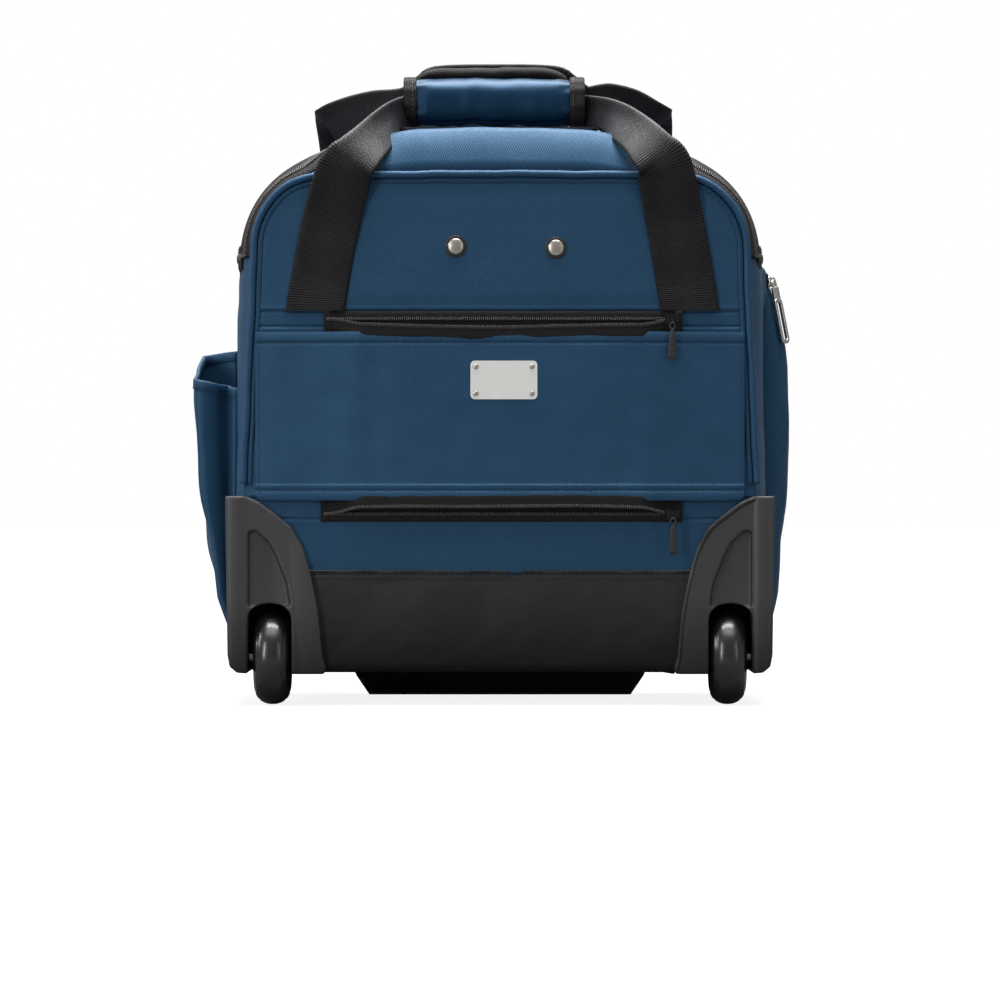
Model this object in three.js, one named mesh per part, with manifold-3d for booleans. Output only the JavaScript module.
// Soft-sided rolling case with two rear wheels, a trolley handle, carry straps and pockets.
// Millimetres; +X to the right seen from behind, +Y towards the front of the case, +Z up.
// The origin is on the floor, under the middle of the case.
import * as THREE from "three";
import { mergeVertices } from "three/addons/utils/BufferGeometryUtils.js";
import Module from "manifold-3d";

const wasm = await Module();
wasm.setup();
const { Manifold, Mesh: SolidMesh } = wasm;

// ---- driving dimensions ----
const GAP = 0.3; // clearance between neighbouring pieces
const WALL = 4; // padded fabric shell
const FLOOR_LIFT = 22; // underside of the base tub above the floor
const BASE_TOP = 89; // top edge of the base tub
const BACK_Y = -90; // back panel, outer face
const BACK_IN = BACK_Y + WALL;
const FRONT_Y = 88; // front panel, outer face
const FRONT_SEAM_Y = 80; // where the gusset meets the front panel
const LID_Z = 299.7; // lower edge of the lid
const ON_BACK = BACK_Y - GAP; // where pieces lying on the back panel start
const ON_FRONT = FRONT_Y + GAP; // where pieces lying on the front panel start
const BOARD_TOP = FLOOR_LIFT + WALL + 3; // stiffening board inside the case
const AXLE_R = 3;
const BORE_R = AXLE_R + GAP;
const WHEEL = { x: 152.5, y: -71, z: 32 }; // wheel centre, right-hand side
const HOUSING = { y0: -96, y1: -30, cavityR: 36, slotIn: 139, slotOut: 168 };
const TUBE_X = 46; // trolley tubes, either side of the middle
const TUBE_Y = -56;
const BEZEL = { halfX: 68, halfY: 8, cupInset: 2.2, cupR: 5.3 };
const STRAP_W = 38;
const STRAP_T = 2.2;
const BIG = 400; // reach of cutting boxes, beyond the case

// line of the main zip over the top: [y, z]
const ZIP = [[-50, 250], [-50, 345], [-22, 389], [-22, 450]];

// body sections: [y, half width at the base, fullness at the corners, fullness at the crown,
// crown height]; fullness 0 is the flat panel's outline, 1 the full rounded section
const SECTIONS = [
  [-90, 176, 0, 0, 387.3],
  [-86, 177, 0.1, 0.38, 387.3],
  [-80, 178, 0.22, 0.75, 387.3],
  [-72, 179, 0.36, 1, 387.3],
  [-62, 180, 0.52, 1, 386],
  [-50, 180.5, 0.8, 1, 384.9],
  [-40, 181, 1, 1, 384.5],
  [0, 181, 1, 1, 383.5],
  [40, 180.5, 1, 1, 380],
  [62, 179, 0.8, 0.85, 379],
  [76, 176, 0.5, 0.55, 379],
  [84, 172, 0.2, 0.2, 379],
  [88, 168, 0, 0, 379],
];
const MID_Z = 250; // height where the upper outlines start
const UPPER_POINTS = 12; // points on each upper half outline
const BASE_R = 14; // rounding of the bottom edges
const PANEL = { mid: 165.8, inset: 2.6, top: 353, r: 38 }; // flat outline, half width at MID_Z
const FULL = { mid: 177.3, inset: 0.3, z0: 270, power: 3 }; // superellipse above z0

// ---- finishes ----
const BLUE = 0x1d4a70;
const BLACK = 0x222325;
const CHROME = 0xc8c9cb;
const finish = {
  fabric: { color: BLUE, roughness: 0.85 },
  piping: { color: BLUE, roughness: 0.7 },
  wrap: { color: BLUE, roughness: 0.6 },
  coated: { color: BLACK, roughness: 0.6 }, // base tub, zip tapes, trolley bracket
  bezel: { color: BLACK, roughness: 0.55 },
  black: { color: BLACK, roughness: 0.5 }, // black pulls and trolley grip
  slider: { color: BLACK, roughness: 0.4, metalness: 0.3 },
  webbing: { color: 0x2b2c2f, roughness: 0.8 },
  plastic: { color: 0x353535, roughness: 0.6 },
  tyre: { color: 0x121314, roughness: 0.2 },
  core: { color: 0x2a2b2d, roughness: 0.45 },
  button: { color: 0x55575a, roughness: 0.5 },
  board: { color: 0x3a3a3c, roughness: 0.9 },
  lining: { color: 0x6d7278, roughness: 0.9 },
  label: { color: 0xdfe1dc, roughness: 0.45, metalness: 0.2 },
  rivet: { color: CHROME, roughness: 0.3, metalness: 1 },
  chromeSlider: { color: CHROME, roughness: 0.2, metalness: 1 },
  chromePull: { color: CHROME, roughness: 0.15, metalness: 1 },
  steel: { color: 0xb4b6b8, roughness: 0.3, metalness: 1 },
  aluminium: { color: 0xa9abad, roughness: 0.35, metalness: 1 },
};

// ---- geometry helpers ----
function toSolid(geometry) {
  const flat = geometry.index ? geometry.toNonIndexed() : geometry;
  const bare = new THREE.BufferGeometry().setAttribute("position", flat.getAttribute("position"));
  const merged = mergeVertices(bare, 1e-4);
  return new Manifold(
    new SolidMesh({
      numProp: 3,
      vertProperties: new Float32Array(merged.attributes.position.array),
      triVerts: new Uint32Array(merged.index.array),
    }),
  );
}

// solid from an indexed geometry, with its faces turned outwards
function toOutwardSolid(geometry) {
  const solid = toSolid(geometry);
  if (solid.volume() > 0) return solid;
  const corners = geometry.index.array;
  for (let i = 0; i < corners.length; i += 3) {
    [corners[i + 1], corners[i + 2]] = [corners[i + 2], corners[i + 1]];
  }
  return toSolid(geometry);
}

function toGeometry(solid) {
  const mesh = solid.getMesh();
  const points = new Float32Array(mesh.vertProperties);
  const geometry = new THREE.BufferGeometry()
    .setAttribute("position", new THREE.BufferAttribute(points, 3))
    .setIndex(new THREE.BufferAttribute(new Uint32Array(mesh.triVerts), 1));
  geometry.computeVertexNormals();
  return geometry;
}

function extrude(outline, depth) {
  let area = 0;
  outline.forEach(([x, y], i) => {
    const [nextX, nextY] = outline[(i + 1) % outline.length];
    area += x * nextY - nextX * y;
  });
  const points = area < 0 ? [...outline].reverse() : outline; // counter-clockwise
  const shape = new THREE.Shape(points.map(([x, y]) => new THREE.Vector2(x, y)));
  return new THREE.ExtrudeGeometry(shape, { depth, bevelEnabled: false });
}

// outline in (y, z), between two X values
function alongX(outline, x0, x1) {
  const axes = new THREE.Matrix4().set(0, 0, 1, x0, 1, 0, 0, 0, 0, 1, 0, 0, 0, 0, 0, 1);
  return toSolid(extrude(outline, x1 - x0).applyMatrix4(axes));
}
// outline in (x, z), between two Y values
const alongY = (outline, y0, y1) =>
  toSolid(extrude(outline, y1 - y0).rotateX(Math.PI / 2).translate(0, y1, 0));
// outline in (x, y), between two Z values
const alongZ = (outline, z0, z1) => toSolid(extrude(outline, z1 - z0).translate(0, 0, z0));

function box(x0, x1, y0, y1, z0, z1) {
  const block = new THREE.BoxGeometry(x1 - x0, y1 - y0, z1 - z0);
  return toSolid(block.translate((x0 + x1) / 2, (y0 + y1) / 2, (z0 + z1) / 2));
}

function cylinder(axis, radius, length, [x, y, z], segments) {
  const geometry = new THREE.CylinderGeometry(radius, radius, length, segments);
  if (axis === "x") geometry.rotateZ(-Math.PI / 2);
  return toSolid(geometry.translate(x, y, z));
}

// outline of a rounded rectangle between a0..a1 and b0..b1
function rounded(a0, a1, b0, b1, r, steps = 4) {
  const corners = [
    [a1 - r, b0 + r, -90], [a1 - r, b1 - r, 0], [a0 + r, b1 - r, 90], [a0 + r, b0 + r, 180],
  ];
  return corners.flatMap(([a, b, start]) =>
    Array.from({ length: steps + 1 }, (_, i) => {
      const angle = ((start + (90 * i) / steps) * Math.PI) / 180;
      return [a + r * Math.cos(angle), b + r * Math.sin(angle)];
    }));
}

// closed solid through rings of [x, y, z] with equal point counts
function loft(rings) {
  const count = rings[0].length;
  const points = rings.flat(2);
  const faces = [];
  for (let k = 0; k + 1 < rings.length; k++) {
    for (let i = 0; i < count; i++) {
      const a = k * count + i;
      const b = k * count + ((i + 1) % count);
      faces.push(a, b, a + count, b, b + count, a + count);
    }
  }
  const cap = (k, reversed) => {
    const centre = [0, 0, 0];
    rings[k].forEach((point) => point.forEach((v, j) => (centre[j] += v / count)));
    const hub = points.length / 3;
    points.push(...centre);
    for (let i = 0; i < count; i++) {
      const a = k * count + i;
      const b = k * count + ((i + 1) % count);
      faces.push(hub, ...(reversed ? [b, a] : [a, b]));
    }
  };
  cap(0, true);
  cap(rings.length - 1, false);
  const geometry = new THREE.BufferGeometry()
    .setAttribute("position", new THREE.Float32BufferAttribute(points, 3))
    .setIndex(faces);
  return toOutwardSolid(geometry);
}

// row of a table at a value of its first column, interpolated linearly
function rowAt(rows, value) {
  const next = Math.max(1, rows.findIndex((row) => value <= row[0]));
  const from = rows[next - 1];
  const to = rows[next];
  const t = (value - from[0]) / (to[0] - from[0]);
  return from.map((v, j) => v + t * (to[j] - v));
}

// count points at equal steps along a line of points
function resample(line, count) {
  const reach = [0];
  for (let i = 1; i < line.length; i++) {
    const step = Math.hypot(line[i][0] - line[i - 1][0], line[i][1] - line[i - 1][1]);
    reach.push(reach[i - 1] + step);
  }
  const points = [];
  for (let k = 0, i = 1; k < count; k++) {
    const target = (reach[reach.length - 1] * k) / (count - 1);
    while (i < line.length - 1 && reach[i] < target) i++;
    const t = (target - reach[i - 1]) / (reach[i] - reach[i - 1]);
    points.push(line[i - 1].map((v, j) => v + t * (line[i][j] - v)));
  }
  return points;
}

const mirrored = (solid) => solid.mirror([1, 0, 0]);
const keepZ = (solid, z0, z1) => solid.intersect(box(-BIG, BIG, -BIG, BIG, z0, z1));
const keepY = (solid, y0, y1) => solid.intersect(box(-BIG, BIG, y0, y1, -50, 900));

const part = new THREE.Group();
function put(name, solid, look) {
  const mesh = new THREE.Mesh(toGeometry(solid), new THREE.MeshStandardMaterial(look));
  mesh.name = name;
  part.add(mesh);
}
function putPair(name, left, look) {
  put(`${name}_left`, left, look);
  put(`${name}_right`, mirrored(left), look);
}

// ---- the soft body ----
// upper right quarter of the flat panel's outline, [x, z]
const panelUpper = (() => {
  const { mid, inset, top, r } = PANEL;
  const line = [[mid, MID_Z]];
  for (let i = 0; i <= 24; i++) {
    const t = (i / 24) * (Math.PI / 2);
    line.push([mid - inset - r + r * Math.cos(t), top - r + r * Math.sin(t)]);
  }
  line.push([0, top + 1]);
  return resample(line, UPPER_POINTS);
})();

// the same quarter of the full section
function fullUpper(top) {
  const { mid, inset, z0, power } = FULL;
  const line = [[mid, MID_Z]];
  for (let i = 0; i <= 60; i++) {
    const t = (i / 60) * (Math.PI / 2);
    const x = (mid - inset) * Math.cos(t) ** (2 / power);
    line.push([x, z0 + (top - z0) * Math.sin(t) ** (2 / power)]);
  }
  return resample(line, UPPER_POINTS);
}

// right half of the body's section at y, from the bottom edge up to the crown, [x, z]
function halfOutline(y) {
  const [, halfBase, cornerFullness, crownFullness, top] = rowAt(SECTIONS, y);
  const full = fullUpper(top);
  const upper = panelUpper.map(([x, z], i) => {
    const blend = THREE.MathUtils.smoothstep(i / (UPPER_POINTS - 1), 0.5, 0.8);
    const fullness = cornerFullness + (crownFullness - cornerFullness) * blend;
    return [x + fullness * (full[i][0] - x), z + fullness * (full[i][1] - z)];
  });
  const lower = [-90, -45, 0].map((degrees) => {
    const t = (degrees * Math.PI) / 180;
    return [halfBase - BASE_R + BASE_R * Math.cos(t), FLOOR_LIFT + BASE_R + BASE_R * Math.sin(t)];
  });
  const side = [halfBase + (upper[0][0] - halfBase) * 0.45 + 0.4, 140];
  return [...lower, side, ...upper];
}

// whole section at y, moved outwards by offset, [x, z]
function outlineAt(y, offset) {
  const half = halfOutline(y);
  const last = half.length - 1;
  const moved = half.map(([x, z], i) => {
    const before = half[Math.max(0, i - 1)];
    const after = half[Math.min(last, i + 1)];
    let normal = [after[1] - before[1], before[0] - after[0]];
    if (i === 0) normal = [0, -1];
    if (i === last) normal = [0, 1];
    const length = Math.hypot(...normal);
    return [x + (offset * normal[0]) / length, z + (offset * normal[1]) / length];
  });
  moved[last][0] = 0;
  return [...moved, ...moved.slice(0, -1).reverse().map(([x, z]) => [-x, z])];
}

// stations: [y where the ring is placed, y of the section it takes]
const bodyLoft = (offset, stations) =>
  loft(stations.map(([y, source]) => outlineAt(source, offset).map(([x, z]) => [x, y, z])));
const STATIONS = SECTIONS.map(([y]) => [y, y]);
const shell = bodyLoft(0, STATIONS).subtract(
  bodyLoft(-WALL, [[BACK_IN, BACK_Y], ...STATIONS.slice(2, -2), [FRONT_Y - WALL, FRONT_Y]]));
const halfWidth = (y, z) => rowAt(halfOutline(y).map(([px, pz]) => [pz, px]), z)[1];

// left wheel housing, [x, z]
const HOUSING_OUTLINE = [
  [-183, 139.6], [-169, 139.6], [-160, 135.5], [-151, 129], [-139, 119], [-131, 105],
  [-126, 88], [-121, 63], [-118, 33], [-115.5, 24], [-117.5, 21], [-165, 21],
  [-175, 22], [-180, 26], [-181.5, 34],
];
// room cut for it in the neighbouring pieces, [x, z]
const HOUSING_CUT = [
  [-200, 140.2], [-168.8, 140.2], [-159.7, 136.1], [-150.6, 129.5], [-138.5, 119.4],
  [-130.4, 105.2], [-125.4, 88], [-120.4, 63], [-117.4, 33], [-114.6, 24],
  [-114.6, 10], [-200, 10],
];
const housingCut = (outline) => alongY(outline, -120, HOUSING.y1 + 0.6);
const housingRoom = housingCut(HOUSING_CUT).add(housingCut(HOUSING_CUT.map(([x, z]) => [-x, z])));

// outline in (x, y) centred between the trolley tubes
const aroundTubes = (halfX, halfY, r, steps) =>
  rounded(-halfX, halfX, TUBE_Y - halfY, TUBE_Y + halfY, r, steps);
const bezelOutline = (inset, r) => aroundTubes(BEZEL.halfX - inset, BEZEL.halfY - inset, r);

// the space in front of the main zip line, and behind it, each set off by a distance
const beforeZip = (d) =>
  alongX([...ZIP.map(([y, z]) => [y + d, z]), [300, 450], [300, 250]], -BIG, BIG);
const behindZip = (d) =>
  alongX([...ZIP.map(([y, z]) => [y - d, z]), [-300, 450], [-300, 250]], -BIG, BIG);

const RIVETS = [["left", -29.5, 306], ["right", 37.3, 305]]; // on the back panel: side, x, z

function backPanel() {
  let panel = keepZ(keepY(shell, -95, BACK_IN), BASE_TOP + GAP, 500).subtract(housingRoom);
  for (const [, x, z] of RIVETS) {
    panel = panel.subtract(cylinder("y", 2.4, 20, [x, (BACK_Y + BACK_IN) / 2, z], 12));
  }
  return panel;
}

function gussetBand() {
  const band = keepY(shell, BACK_IN + GAP, FRONT_SEAM_Y);
  const low = keepZ(band, BASE_TOP + GAP, LID_Z - GAP);
  const top = keepZ(band, LID_Z - GAP - 1, 500).intersect(behindZip(GAP));
  const bezelRoom = alongZ(bezelOutline(BEZEL.cupInset - GAP, BEZEL.cupR + GAP), 360, 420);
  return low.add(top).subtract(housingRoom).subtract(bezelRoom);
}

// cord round the back panel, above the wheel housings
function rearPiping() {
  const cord = alongY(outlineAt(BACK_Y, 1.6), -93, ON_BACK);
  return cord
    .subtract(alongY(outlineAt(BACK_Y, -1.6), -95, -89))
    .intersect(box(-BIG, BIG, -100, -80, 140.8, 500));
}

put("back_panel", backPanel(), finish.fabric);
put("base_tub", keepZ(shell, 0, BASE_TOP - GAP).subtract(housingRoom), finish.coated);
put("gusset_band", gussetBand(), finish.fabric);
const frontPanel = keepY(shell, FRONT_SEAM_Y + GAP, 120);
put("front_panel", keepZ(frontPanel, BASE_TOP + GAP, LID_Z - GAP), finish.fabric);
put("lid", keepZ(shell, LID_Z + GAP, 500).intersect(beforeZip(GAP)), finish.fabric);
put("rear_piping", rearPiping(), finish.piping);

// main zip tapes: thin skins over the body, one on each side of the opening
const TAPE = { thick: 1.5, reach: 8.5, height: 9, y0: -58, y1: 70 };
const tapeSkin = bodyLoft(TAPE.thick, STATIONS).subtract(
  bodyLoft(GAP, [[-110, BACK_Y], ...STATIONS.slice(1, -1), [110, FRONT_Y]]));

function bodyTape() {
  const z0 = LID_Z - TAPE.height;
  const over = tapeSkin.intersect(behindZip(GAP)).intersect(beforeZip(-TAPE.reach));
  const along = tapeSkin.intersect(box(-BIG, BIG, TAPE.y0, TAPE.y1, z0, LID_Z - GAP));
  return keepZ(over, z0, 500).add(along);
}

function lidTape() {
  const z0 = LID_Z + GAP;
  const over = tapeSkin.intersect(beforeZip(GAP)).intersect(behindZip(-TAPE.reach));
  const run = box(-BIG, BIG, ZIP[0][0] + GAP, TAPE.y1, z0, LID_Z + TAPE.height);
  return keepZ(over, z0, 500).add(tapeSkin.intersect(run));
}

put("main_zip_tape_body", bodyTape(), finish.coated);
put("main_zip_tape_lid", lidTape(), finish.coated);

// ---- trolley sleeve across the back ----
const SLEEVE = { z0: 136.4, z1: 248.9, depth: 8, bulge: 1.6, wall: 1.8, innerHalf: 156 };
// stand-off of the sleeve's outer face: [distance from the middle, stand-off]
const BOW = [
  [60, SLEEVE.depth + SLEEVE.bulge], [92, SLEEVE.depth + 0.9],
  [112, 6.6], [132, 4.2], [150, 2.8], [163, 1.9],
];

function sleevePanel() {
  const { z0, z1, wall, innerHalf } = SLEEVE;
  const half = BOW[BOW.length - 1][0];
  const bowAt = (x) => rowAt(BOW, Math.abs(x))[1];
  const xs = [...BOW.map(([x]) => -x).reverse(), ...BOW.map(([x]) => x)];
  const innerXs = xs.map((x) => Math.sign(x) * Math.min(Math.abs(x), innerHalf));
  const outer = [[-half, ON_BACK], ...xs.map((x) => [x, ON_BACK - bowAt(x)]), [half, ON_BACK]];
  const inner = [
    [-innerHalf, ON_BACK + 1],
    ...innerXs.map((x) => [x, ON_BACK - Math.max(0.1, bowAt(x) - wall)]),
    [innerHalf, ON_BACK + 1],
  ];
  return alongZ(outer, z0, z1)
    .subtract(alongZ(inner, z0 - 5, z1 + 5))
    .subtract(housingRoom.scale([1.02, 1, 1.02]));
}
put("sleeve_panel", sleevePanel(), finish.fabric);

// zips at the two mouths of the sleeve; side is the Z direction towards the sleeve
const REAR_ZIPS = [
  { name: "top", x0: -115, x1: 119, z: 256.7, side: -1, sliderX: 114.5 },
  { name: "low", x0: -117, x1: 119, z: 128.6, side: 1, sliderX: 115 },
];

// a strip on the back panel and a strip along the sleeve edge, joined at both ends
function rearZipTape({ x0, x1, z, side }) {
  const thick = 1.2;
  const high = SLEEVE.depth + 1.2;
  // outer face of the strip along the sleeve: [x, stand-off]
  const line = [
    [x0, 1.2], [x0 + 9, 3], [x0 + 32, 7.2], [x0 + 60, high],
    [x1 - 60, high], [x1 - 32, 7.2], [x1 - 9, 3], [x1, 1.2],
  ];
  const bow = [
    ...line.map(([x, d]) => [x, ON_BACK - d]),
    ...line.reverse().map(([x, d]) => [x, ON_BACK - (d - thick)]),
  ];
  const span = (a, b) => [z + side * a, z + side * b].sort((p, q) => p - q);
  const strip = (left, right, z0, z1) => box(left, right, ON_BACK - thick, ON_BACK, z0, z1);
  const ends = strip(x0, x0 + 3.5, z - 3, z + 3).add(strip(x1 - 3.5, x1, z - 3, z + 3));
  return alongZ(bow, ...span(2.8, 7.5)).add(strip(x0, x1, ...span(-5.7, -1.2))).add(ends);
}

// waisted body with a bridge on its face; length on X, width on Z, face towards -Y
function sliderBody({ length: l, width: w, height: h }) {
  const waist = [[-l / 2, -w / 2], [l / 2, -w * 0.36], [l / 2, w * 0.36], [-l / 2, w / 2]];
  const arch = (foot, top, footHalf, topHalf) => [
    [-h * foot, -w * footHalf], [-h * top, -w * topHalf],
    [-h * top, w * topHalf], [-h * foot, w * footHalf],
  ];
  const bridge = alongX(arch(0.5, 1, 0.42, 0.3), -0.9, 0.9)
    .subtract(alongX(arch(0.45, 0.78, 0.24, 0.17), -3, 3));
  return alongY(waist, -h * 0.55, 0).add(bridge);
}

// slotted bar hanging down -Z from its eye at the origin, thin on Y
function pullBar({ length, width: w, thick: t, eye }) {
  const bar = alongY(rounded(-w / 2, w / 2, -length + eye, eye, w * 0.3, 3), -t / 2, t / 2);
  return bar.subtract(box(-w * 0.24, w * 0.24, -t, t, -eye * 1.1, eye * 0.45));
}

const LARGE_SLIDER = { length: 10, width: 8, height: 4.6 };
const REAR_SLIDER = { length: 8.5, width: 7, height: 6.4 };
const FRONT_SLIDER = { length: 8.5, width: 7, height: 4.2 };
const SMALL_PULL = { length: 23, width: 5.4, thick: 1.6, eye: 2.6 };
const SIDE_PULL = { length: 41, width: 9, thick: 2, eye: 4 };
const MAIN_PULL = { length: 30, width: 6.4, thick: 1.8, eye: 3 };

for (const zip of REAR_ZIPS) put(`${zip.name}_zip_tape`, rearZipTape(zip), finish.coated);
for (const { name, z, side, sliderX } of REAR_ZIPS) {
  const sliderZ = z - side;
  const slider = sliderBody(REAR_SLIDER).translate(sliderX, ON_BACK - 3.6, sliderZ);
  const pull = pullBar(SMALL_PULL)
    .subtract(box(-1.3, 1.3, -3, 3, -17, -6))
    .translate(sliderX, ON_BACK - 10.9, sliderZ - 4.6);
  put(`${name}_zip_slider`, slider, finish.slider);
  put(`${name}_zip_pull`, pull, finish.black);
}

// ---- hardware on the back ----
for (const [side, x, z] of RIVETS) {
  const rivet = cylinder("y", 5.6, 1, [x, ON_BACK - 0.6, z], 28)
    .add(cylinder("y", 5.4, 1.1, [x, ON_BACK - 1.6, z], 28))
    .add(cylinder("y", 2, 7, [x, ON_BACK + 2.6, z], 12));
  put(`bracket_rivet_${side}`, rivet, finish.rivet);
}

const LABEL = { x: 2.6, y: ON_BACK - SLEEVE.depth - SLEEVE.bulge - GAP, z: 216.7 };
const LABEL_HOLES = [[-18.6, 8.9], [18.6, 8.9], [-18.6, -8.9], [18.6, -8.9]]; // x, z from centre

function labelPlate() {
  let plate = alongY(rounded(-22.2, 22.2, -12.8, 12.8, 2.8), -1, 0);
  for (const [x, z] of LABEL_HOLES) plate = plate.subtract(cylinder("y", 1.1, 6, [x, 0, z], 12));
  return plate.translate(LABEL.x, LABEL.y, LABEL.z);
}
put("label_plate", labelPlate(), finish.label);
LABEL_HOLES.forEach(([x, z], i) => {
  const rivet = cylinder("y", 0.8, 1.5, [0, -0.6, 0], 10)
    .add(cylinder("y", 1.7, 0.7, [0, -1.65, 0], 12))
    .translate(LABEL.x + x, LABEL.y, LABEL.z + z);
  put(`label_rivet_${i + 1}`, rivet, finish.rivet);
});

// ---- base: housings, wheels, foot, board ----
const SLOT_MID = (HOUSING.slotIn + HOUSING.slotOut) / 2;
// shallow recess over the arch of the left housing, [x, z]
const ARCH_RECESS = [
  [-167.5, 116], [-162.7, 116.7], [-154, 109], [-150, 102], [-142, 82], [-139.5, 66],
  [-167.5, 66],
];
// wheel profiles: [radius, distance along the axle]
const TYRE_PROFILE = [
  [24.2, -12], [27, -12], [30, -10.4], [31.6, -7], [32, -3],
  [32, 3], [31.6, 7], [30, 10.4], [27, 12], [24.2, 12],
];
const CORE_PROFILE = [
  [BORE_R, -12.4], [7, -12.4], [8, -10], [19.5, -6], [21, -9], [23.8, -9],
  [23.8, 9], [21, 9], [19.5, 6], [8, 10], [7, 12.4], [BORE_R, 12.4],
];

function wheelHousing() {
  const { y0, y1, cavityR, slotIn, slotOut } = HOUSING;
  const { y, z } = WHEEL;
  return alongY(HOUSING_OUTLINE, y0, y1)
    .subtract(cylinder("x", cavityR, slotOut - slotIn, [-SLOT_MID, y, z], 40))
    .subtract(box(-slotOut, -slotIn, -120, y + cavityR, 0, z))
    .subtract(alongY(ARCH_RECESS, -110, y0 + 4))
    .subtract(cylinder("x", BORE_R, 38, [-SLOT_MID, y, z], 20));
}

// closed profile turned about the X axis
function turned(profile, segments) {
  const points = [...profile, profile[0]].map(([r, along]) => new THREE.Vector2(r, along));
  return toOutwardSolid(new THREE.LatheGeometry(points, segments)).rotate([0, 0, -90]);
}

function wheelCore() {
  const holes = 5;
  let core = turned(CORE_PROFILE, 32);
  for (let i = 0; i < holes; i++) {
    const angle = (i * 2 * Math.PI) / holes;
    const at = [0, 14 * Math.cos(angle), 14 * Math.sin(angle)];
    core = core.subtract(cylinder("x", 3.4, 40, at, 14));
  }
  return core;
}

const atLeftWheel = (solid) => solid.translate(-WHEEL.x, WHEEL.y, WHEEL.z);
putPair("wheel_housing", wheelHousing(), finish.plastic);
putPair("wheel_tyre", atLeftWheel(turned(TYRE_PROFILE, 44)), finish.tyre);
putPair("wheel_core", atLeftWheel(wheelCore()), finish.core);
const axle = cylinder("x", AXLE_R, 36, [-SLOT_MID, WHEEL.y, WHEEL.z], 20);
putPair("wheel_axle", axle, finish.steel);

// wide moulded bar under the front edge
function frontFoot() {
  const top = FLOOR_LIFT - GAP;
  const profile = [[46, top], [52, 8], [58, 0], [74, 0], [79, 5], [82, top]]; // y, z
  const face = [ // x, z
    [-104, FLOOR_LIFT], [-101, 14], [-92, 0], [92, 0], [101, 14], [104, FLOOR_LIFT],
  ];
  return alongX(profile, -104, 104).intersect(alongY(face, 0, 120));
}
put("front_foot", frontFoot(), finish.plastic);

// stiffening board on the floor of the case, [x, y]
const BOARD_OUTLINE = [
  [-112, -82], [112, -82], [112, -28.5], [158, -28.5], [160, 60], [150, 79],
  [-150, 79], [-160, 60], [-158, -28.5], [-112, -28.5],
];
put("base_board", alongZ(BOARD_OUTLINE, FLOOR_LIFT + WALL + GAP, BOARD_TOP), finish.board);

// ---- trolley handle ----
const BRACKET = { z0: BOARD_TOP + GAP, height: 14, floor: 3 };
const TUBE_Z0 = BRACKET.z0 + BRACKET.floor + GAP;
// nested tubes: [name, half size on x, half size on y, bottom, top]
const TUBES = [
  ["outer", 9.5, 6, TUBE_Z0, 367.6],
  ["middle", 8.1, 4.6, TUBE_Z0 + 4, 371],
  ["inner", 6.7, 3.2, TUBE_Z0 + 8, 373],
];

// cuts an opening at the left tube and one at the right tube
function cutAtTubes(solid, halfX, halfY, z0, z1) {
  const opening = (x) => box(x - halfX, x + halfX, TUBE_Y - halfY, TUBE_Y + halfY, z0, z1);
  return solid.subtract(opening(-TUBE_X)).subtract(opening(TUBE_X));
}

function trolleyBracket() {
  const { z0, height, floor } = BRACKET;
  return cutAtTubes(alongZ(aroundTubes(66, 11, 6), z0, z0 + height), 9.9, 6.4, z0 + floor, 80);
}

function rightTube(halfX, halfY, z0, z1) {
  const wall = 1;
  const r = 2.2;
  const section = (inset) =>
    rounded(-halfX + inset, halfX - inset, -halfY + inset, halfY - inset, r - inset, 2);
  return alongZ(section(0), z0, z1)
    .subtract(alongZ(section(wall), z0 - 5, z1 + 5))
    .translate(TUBE_X, TUBE_Y, 0);
}

// cup with a rim, let into the gusset; the grip lies in it
function trolleyBezel() {
  const { cupInset, cupR } = BEZEL;
  const cup = alongZ(bezelOutline(cupInset, cupR), 368, 388.2)
    .add(alongZ(bezelOutline(0, 7), 387, 388.2))
    .subtract(alongZ(aroundTubes(62, 4.8, 4), 373.4, 400));
  return cutAtTubes(cup, 8.5, 4.9, 360, 400);
}

function trolleyGrip() {
  const buttonRoom = box(-9.3, 9.3, TUBE_Y - 3.4, TUBE_Y + 3.4, 380.4, 400);
  return alongZ(aroundTubes(60, 4.5, 3.8), 375.6, 386.8).subtract(buttonRoom);
}

put("trolley_bracket", trolleyBracket(), finish.coated);
for (const [name, ...sizes] of TUBES) {
  const tube = rightTube(...sizes);
  put(`trolley_${name}_tube_left`, mirrored(tube), finish.aluminium);
  put(`trolley_${name}_tube_right`, tube, finish.aluminium);
}
put("trolley_bezel", trolleyBezel(), finish.bezel);
put("trolley_grip", trolleyGrip(), finish.black);
put("release_button", alongZ(aroundTubes(8.9, 3, 2.2, 3), 384.7, 387.8), finish.button);

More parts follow.
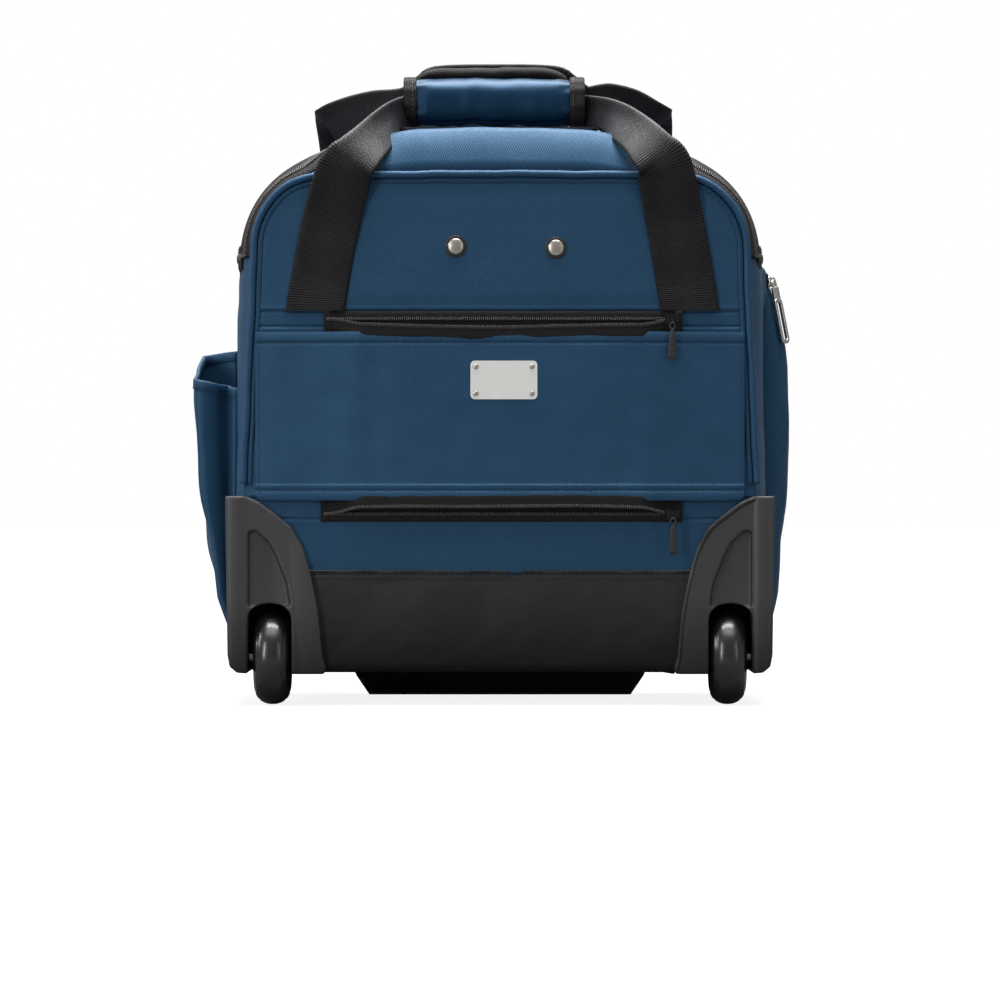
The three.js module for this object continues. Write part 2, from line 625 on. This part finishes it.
// ---- carry handles ----
// strap stations: [x, y, z, width direction x, y, z, width]
const REAR_STRAP = [ // left half, from the anchor to the loop
  [-108.5, -95.2, 341, 0.93, 0, -0.36, STRAP_W],
  [-104, -96.6, 356, 0.95, 0, -0.3, 36],
  [-97, -93, 371, 0.9, 0, -0.2, 33],
  [-89, -83, 385, 0.9, 0, 0.3, 30],
  [-80, -66, 397, 0.7, 0, 0.8, 27],
  [-73, -52, 403, 0.35, 0, 1, 24],
  [-69, -40.4, 406.2, 0.14, 0, 1, 20],
  [-62.5, -35, 407.2, 0.02, 0, 1, 18.6],
  [-52, -35, 407.5, 0, 0, 1, 20],
];
const REAR_STRAP_MIDDLE = [0, -35, 407.5, 0, 0, 1, 20];
const FRONT_STRAP = [ // left half, from the front panel to the loop
  [-104, 91.4, 306, 1, 0, 0, STRAP_W],
  [-106, 90.6, 332, 1, 0, 0, STRAP_W],
  [-108, 91.6, 354, 1, 0, 0.05, STRAP_W],
  [-110, 84, 378, 1, 0, 0.15, STRAP_W],
  [-112, 66, 394, 1, 0.1, 0.35, 36],
  [-111, 42, 401, 0.8, 0.2, 0.8, 33],
  [-101, 16, 407, 0.35, 0.1, 1, 28],
  [-82, -6, 413, 0.1, 0, 1, 25],
  [-66, -18, 417, 0, 0, 1, 23],
  [-54, -22.6, 420.5, 0, 0, 1, 22],
  [-44, -23.4, 423.5, 0, 0, 1, 22],
];
const FRONT_STRAP_MIDDLE = [0, -23.4, 424, 0, 0, 1, 22];
const ANCHOR = [[123, 265], [120.5, 292], [114, 320], [111, 330]]; // distance from middle, z

// flat strap through stations, its thickness square to its run and its width
function ribbon(stations) {
  const centres = stations.map(([x, y, z]) => new THREE.Vector3(x, y, z));
  const rings = stations.map(([, , , widthX, widthY, widthZ, width], i) => {
    const next = centres[Math.min(i + 1, centres.length - 1)];
    const run = next.clone().sub(centres[Math.max(i - 1, 0)]).normalize();
    const across = new THREE.Vector3(widthX, widthY, widthZ);
    across.addScaledVector(run, -across.dot(run)).normalize();
    const normal = new THREE.Vector3().crossVectors(run, across).normalize();
    const a = width / 2;
    const b = STRAP_T / 2;
    return [[-a, -b], [a, -b], [a, b], [-a, b]].map(([u, v]) =>
      centres[i].clone().addScaledVector(across, u).addScaledVector(normal, v).toArray());
  });
  return loft(rings);
}

// strap from its left half, its middle station and the mirrored right half
function symmetricStrap(left, middle) {
  const right = left.map(([x, y, z, wx, wy, wz, width]) => [-x, y, z, -wx, wy, wz, width]);
  return ribbon([...left, middle, ...right.reverse()]);
}

for (const [name, side] of [["left", -1], ["right", 1]]) {
  const stations = ANCHOR.map(([x, z]) => [side * x, ON_BACK - 1.7, z, 1, 0, 0, STRAP_W]);
  put(`rear_strap_anchor_${name}`, ribbon(stations), finish.webbing);
}
put("rear_handle_strap", symmetricStrap(REAR_STRAP, REAR_STRAP_MIDDLE), finish.webbing);
put("front_handle_strap", symmetricStrap(FRONT_STRAP, FRONT_STRAP_MIDDLE), finish.webbing);

// padded wrap: a channel open to the front, round the rear loop
function gripWrap() {
  const [y0, y1, z0, z1] = [-46, -27, 391.5, 423.5];
  const outline = [
    [y1, z1 - 4], [y1, z1], [y0 + 9, z1], [y0 + 3, z1 - 3], [y0, z1 - 10],
    [y0, z0 + 10], [y0 + 3, z0 + 3], [y0 + 9, z0], [y1, z0], [y1, z0 + 4],
    [y0 + 10, z0 + 4], [y0 + 6.5, z0 + 6.5], [y0 + 5, z0 + 11],
    [y0 + 5, z1 - 11], [y0 + 6.5, z1 - 6.5], [y0 + 10, z1 - 4],
  ];
  return alongX(outline, -65, 57);
}
put("grip_wrap", gripWrap(), finish.wrap);

// ---- side and front pockets ----
// outer and inner outlines, [x, z]
const BOTTLE_OUTER = [
  [-182, 58], [-187, 58], [-195, 90], [-201, 130], [-204, 175], [-204, 224], [-182, 224],
];
const BOTTLE_INNER = [
  [-184, 63], [-186, 63], [-192, 92], [-197.9, 131], [-200.8, 175], [-200.8, 240], [-184, 240],
];
const SIDE_OUTER = [
  [182, 52], [187, 52], [194, 90], [198, 140], [200, 190], [197, 235], [190, 262],
  [186.5, 274], [182, 276],
];
const SIDE_INNER = [
  [184, 57], [186, 57], [191, 92], [195, 140], [196.8, 190], [193.8, 234], [186.6, 262],
  [185.4, 300], [184, 300],
];
function pocket(outer, inner, y0, y1) {
  const endWall = 3.4;
  return alongY(outer, y0, y1).subtract(alongY(inner, y0 + endWall, y1 - endWall));
}
put("bottle_pocket", pocket(BOTTLE_OUTER, BOTTLE_INNER, -29, 58), finish.fabric);
put("side_pocket", pocket(SIDE_OUTER, SIDE_INNER, -29, 60), finish.fabric);

const sideTape = alongY([[181.9, 281], [181.9, 291], [183.4, 291], [183.4, 281]], -32, 58);
const sideSlider = sliderBody(LARGE_SLIDER).rotate([0, 0, 90]).translate(183.8, -24, 286);
const sidePull = pullBar(SIDE_PULL).rotate([0, 0, 90]).rotate([0, -15, 0]);
put("side_pocket_zip_tape", sideTape, finish.coated);
put("side_pocket_slider", sideSlider, finish.chromeSlider);
put("side_pocket_pull", sidePull.translate(190.9, -24, 279.9), finish.chromePull);

// two hollow tiers, with a slot in the top edge
function frontPocket() {
  const tier = (inset, r, y0, y1) => {
    const outline = rounded(-132 + inset, 132 - inset, 100 + inset, 272 - inset, r, 5);
    return alongY(outline, ON_FRONT + y0, ON_FRONT + y1);
  };
  return tier(0, 24, 0, 9)
    .add(tier(6, 20, 8, 13.2))
    .subtract(tier(3, 22, 1.6, 7.4))
    .subtract(tier(9, 18, 7, 11.6))
    .subtract(box(-112, 112, ON_FRONT + 2, ON_FRONT + 6.5, 255, 290));
}
const frontTape = box(-118, 118, ON_FRONT, ON_FRONT + 1.5, 279.5, 292);
const frontSlider = sliderBody(FRONT_SLIDER).rotate([0, 0, 180]);
const frontPull = pullBar(SMALL_PULL).rotate([0, 0, 180]).rotate([22, 0, 0]);
put("front_pocket", frontPocket(), finish.fabric);
put("front_pocket_zip_tape", frontTape, finish.coated);
put("front_pocket_slider", frontSlider.translate(-104, ON_FRONT + 1.9, 286), finish.slider);
put("front_pocket_pull", frontPull.translate(-104, 97.2, 281), finish.black);

// main zip slider on the left-hand run, with its pull
const mainX = -halfWidth(20, LID_Z) - 2;
const mainY = 46;
const mainSlider = sliderBody(LARGE_SLIDER).rotate([0, 0, -90]);
const mainPull = pullBar(MAIN_PULL).rotate([0, 0, -90]);
put("main_zip_slider", mainSlider.translate(mainX, mainY, LID_Z), finish.slider);
put("main_zip_pull", mainPull.translate(mainX - 5.9, mainY, LID_Z - 5.3), finish.black);

// ---- inside ----
// laptop sleeve, [x, z]
const LAPTOP_OUTLINE = [
  [-150, 34], [150, 34], [150, 262], [140, 270], [-140, 270], [-150, 262],
];
put("laptop_sleeve", alongY(LAPTOP_OUTLINE, -34, -30).subtract(housingRoom), finish.lining);

export default part;
